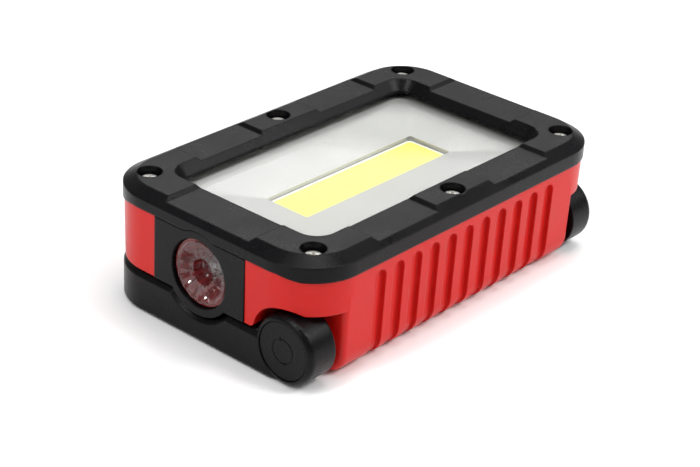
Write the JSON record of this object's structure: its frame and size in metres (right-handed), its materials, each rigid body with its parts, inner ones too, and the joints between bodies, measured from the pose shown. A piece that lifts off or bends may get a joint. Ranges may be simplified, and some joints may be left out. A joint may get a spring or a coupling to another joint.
{
  "type": "work light",
  "caption": "Flat rechargeable work light: framed window over a lit strip and reflector, torch in one end, grooved housing and a U-shaped folding magnetic stand.",
  "frame": {"origin": "centre of the underside, with the light lying on its back and the stand folded", "axes": "+X along the length away from the torch end, +Y away from the hinge side, +Z out of the lit face"},
  "size_m": [0.128, 0.08, 0.037],
  "materials": {
    "red_plastic": "satin moulded plastic",
    "black_plastic": "fine spark-eroded texture",
    "bright_screw": "bright zinc plate",
    "clear_window": "clear polycarbonate",
    "foam_tape": "closed-cell foam",
    "silver_reflector": "satin vacuum metallised",
    "white_board": "white solder mask on aluminium",
    "white_silicone": "satin",
    "phosphor": "yellow phosphor silicone",
    "aluminium_plate": "mill finish",
    "steel_screw": "zinc plated",
    "red_holder": "gloss moulded plastic",
    "clear_lens": "clear acrylic",
    "cell_sleeve": "shrink sleeve",
    "nickel": "nickel plated",
    "green_board": "solder mask",
    "chip": "moulded epoxy",
    "light_pipe": "milky clear",
    "black_rubber": "matte silicone rubber",
    "white_nylon": "natural nylon",
    "brass_insert": "machined",
    "wire_sleeve": "extruded sleeve"
  },
  "bodies": {
    "lamp": {"housing": "red_plastic", "front_bezel": "black_plastic", "bezel_screws": "bright_screw", "window_lens": "clear_window", "lens_tape": "foam_tape", "reflector": "silver_reflector", "cob_board": "white_board", "cob_dam": "white_silicone", "cob_phosphor": "phosphor", "heat_sink_plate": "aluminium_plate", "heat_sink_screws": "steel_screw", "torch_bezel": "black_plastic", "torch_holder": "red_holder", "torch_lens": "clear_lens", "torch_led_board": "white_board", "torch_emitter": "phosphor", "battery_cell": "cell_sleeve", "battery_cradle": "black_plastic", "battery_tabs": "nickel", "battery_pad": "foam_tape", "control_board": "green_board", "board_components": "chip", "board_screws": "steel_screw", "tact_switch": "chip", "charging_socket": "nickel", "end_panel": "black_plastic", "charge_light": "light_pipe", "hinge_screws": "steel_screw", "spring_washers": "steel_screw", "thrust_washers": "white_nylon", "hinge_inserts": "brass_insert", "strip_wires": "wire_sleeve", "torch_wires": "wire_sleeve", "cell_wires": "wire_sleeve"},
    "stand": {"stand_frame": "black_plastic", "hinge_caps": "black_plastic", "stand_magnets": "nickel"},
    "button": {"power_button": "black_rubber"},
    "cover": {"port_cover": "black_rubber"}
  },
  "joints": [
    {"name": "stand_hinge", "type": "hinge", "parent": "lamp", "child": "stand", "pos_m": [0, -0.03, 0.0102], "axis": [-1, 0, 0], "range_deg": [0, 180]},
    {"name": "power_press", "type": "slide", "parent": "lamp", "child": "button", "axis": [-1, 0, 0], "range_m": [0, 0.0008], "stiffness_N_per_m": 2000},
    {"name": "port_cover_hinge", "type": "hinge", "parent": "lamp", "child": "cover", "pos_m": [0.06265, 0.0083, 0.017], "axis": [0, 1, 0], "range_deg": [0, 100]}
  ]
}
